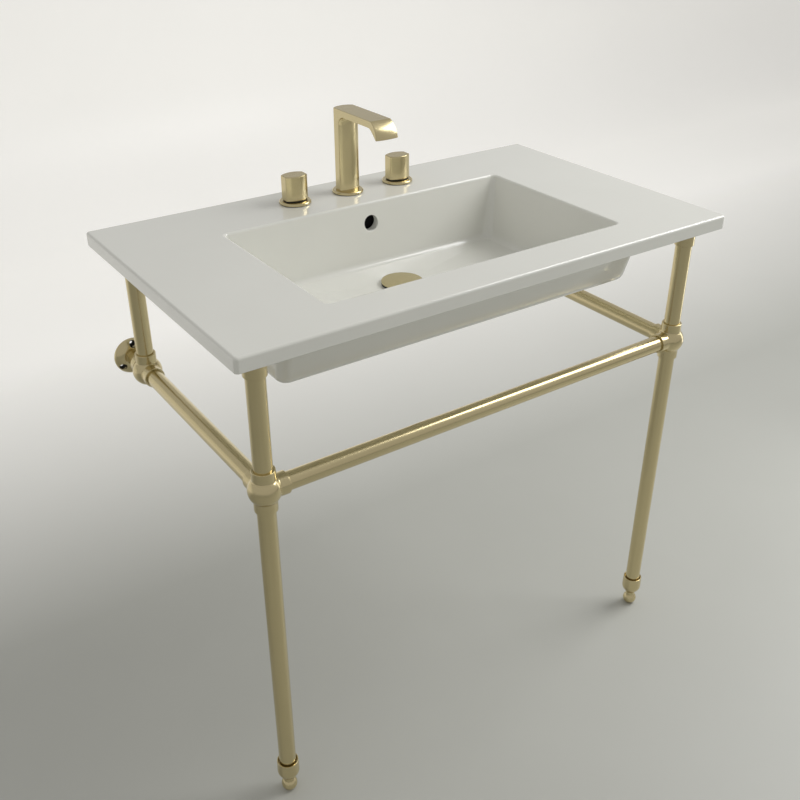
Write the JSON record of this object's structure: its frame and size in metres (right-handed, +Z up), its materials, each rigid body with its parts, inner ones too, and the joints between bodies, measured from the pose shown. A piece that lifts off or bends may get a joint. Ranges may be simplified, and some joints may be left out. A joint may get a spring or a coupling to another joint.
{
  "type": "bathroom sink",
  "caption": "Console washbasin: a rectangular ceramic deck and sunken bowl on a brass tube frame with ball fittings, wall flanges, a tap set and a push-button waste.",
  "frame": {"origin": "on the floor, half way across the deck and half way between its front edge and the wall", "axes": "+X to the right seen from the front, +Y towards the wall, +Z up"},
  "size_m": [0.864, 0.508, 0.954],
  "materials": {
    "glazed_ceramic": "glossy glaze",
    "satin_brass": "satin, finely brushed",
    "raw_brass": "machined",
    "steel_screw": "machined",
    "black_rubber": "matt",
    "white_plastic": "moulded",
    "dark_plastic": "moulded"
  },
  "bodies": {
    "frame": {"basin": "glazed_ceramic", "drain_body": "satin_brass", "drain_flange_gasket": "black_rubber", "drain_gasket": "black_rubber", "drain_washer": "white_plastic", "drain_locknut": "raw_brass", "tailpiece": "satin_brass", "tailpiece_seal": "black_rubber", "stopper_bridge": "raw_brass", "stopper_cartridge": "white_plastic", "spout": "satin_brass", "spout_escutcheon": "satin_brass", "spout_outlet": "dark_plastic", "spout_shank": "raw_brass", "hot_escutcheon": "satin_brass", "hot_valve_body": "raw_brass", "hot_cartridge": "raw_brass", "cold_escutcheon": "satin_brass", "cold_valve_body": "raw_brass", "cold_cartridge": "raw_brass", "tap_base_gaskets": "black_rubber", "tap_washers": "white_plastic", "tap_locknuts": "raw_brass", "left_front_fitting": "satin_brass", "right_front_fitting": "satin_brass", "left_rear_fitting": "satin_brass", "right_rear_fitting": "satin_brass", "left_wall_flange": "satin_brass", "right_wall_flange": "satin_brass", "left_front_post": "satin_brass", "right_front_post": "satin_brass", "left_rear_post": "satin_brass", "right_rear_post": "satin_brass", "left_leg": "satin_brass", "right_leg": "satin_brass", "left_side_rail": "satin_brass", "right_side_rail": "satin_brass", "front_rail": "satin_brass", "left_front_post_cap": "satin_brass", "right_front_post_cap": "satin_brass", "left_rear_post_cap": "satin_brass", "right_rear_post_cap": "satin_brass", "deck_pads": "black_rubber", "left_foot_cup": "satin_brass", "right_foot_cup": "satin_brass", "fitting_set_screws": "steel_screw"},
    "hot_handle": {"hot_handle": "satin_brass", "hot_glide_ring": "dark_plastic", "hot_handle_screw": "steel_screw", "hot_stem": "raw_brass"},
    "cold_handle": {"cold_handle": "satin_brass", "cold_glide_ring": "dark_plastic", "cold_handle_screw": "steel_screw", "cold_stem": "raw_brass"},
    "stopper": {"drain_stopper": "satin_brass", "stopper_seal": "black_rubber", "stopper_stem": "raw_brass"},
    "left_foot": {"left_foot": "satin_brass"},
    "right_foot": {"right_foot": "satin_brass"}
  },
  "joints": [
    {"name": "hot_handle_turn", "type": "hinge", "parent": "frame", "child": "hot_handle", "pos_m": [-0.1016, 0.19, 0.84], "axis": [0, 0, 1], "range_deg": [0, 90]},
    {"name": "cold_handle_turn", "type": "hinge", "parent": "frame", "child": "cold_handle", "pos_m": [0.1016, 0.19, 0.84], "axis": [0, 0, 1], "range_deg": [-90, 0]},
    {"name": "stopper_rise", "type": "slide", "parent": "frame", "child": "stopper", "axis": [0, 0, 1], "range_m": [0, 0.0065]},
    {"name": "left_foot_adjust", "type": "slide", "parent": "frame", "child": "left_foot", "axis": [0, 0, -1], "range_m": [0, 0.015]},
    {"name": "right_foot_adjust", "type": "slide", "parent": "frame", "child": "right_foot", "axis": [0, 0, -1], "range_m": [0, 0.015]}
  ]
}
